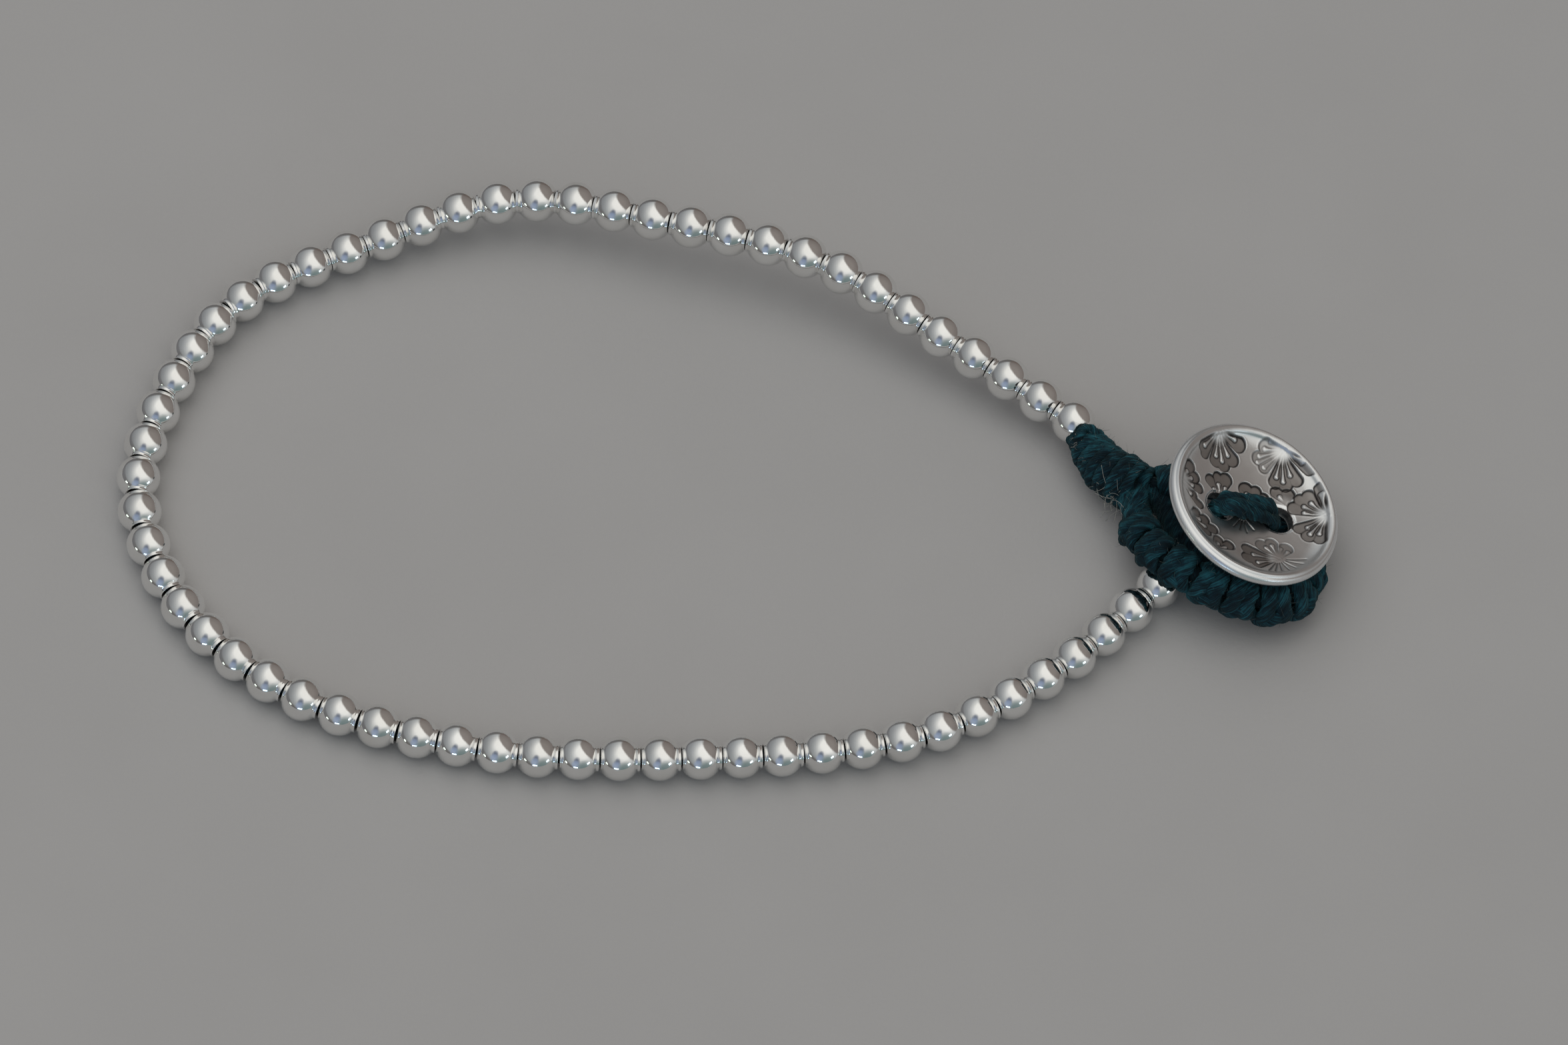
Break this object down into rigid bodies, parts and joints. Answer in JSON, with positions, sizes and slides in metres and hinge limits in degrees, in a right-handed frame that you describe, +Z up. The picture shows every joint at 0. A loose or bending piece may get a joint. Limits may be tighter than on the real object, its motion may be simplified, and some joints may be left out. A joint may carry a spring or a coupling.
{
  "type": "beaded bracelet",
  "caption": "Bracelet of round silver beads on a thread, fastened by a knotted cord loop over a dished, stamped two-hole button, lying flat in a pear-shaped ring.",
  "frame": {"origin": "centre of the bracelet's box in plan, on the surface that it lies on", "axes": "+X along the bracelet's length towards the button, +Y away from the viewer, +Z up"},
  "size_m": [0.0831, 0.0467, 0.0086],
  "materials": {
    "bead_silver": "highly polished silver",
    "button_silver": "satin silver, dark in its stamped recesses",
    "cord": "waxed dark teal-green cord, slightly fuzzy"
  },
  "bodies": {
    "root": {"bead_string_upper": "bead_silver", "bead_string_lower": "bead_silver", "cord_neck": "cord", "knotted_loop": "cord", "button": "button_silver", "button_stitch": "cord", "button_tail": "cord"}
  },
  "joints": []
}
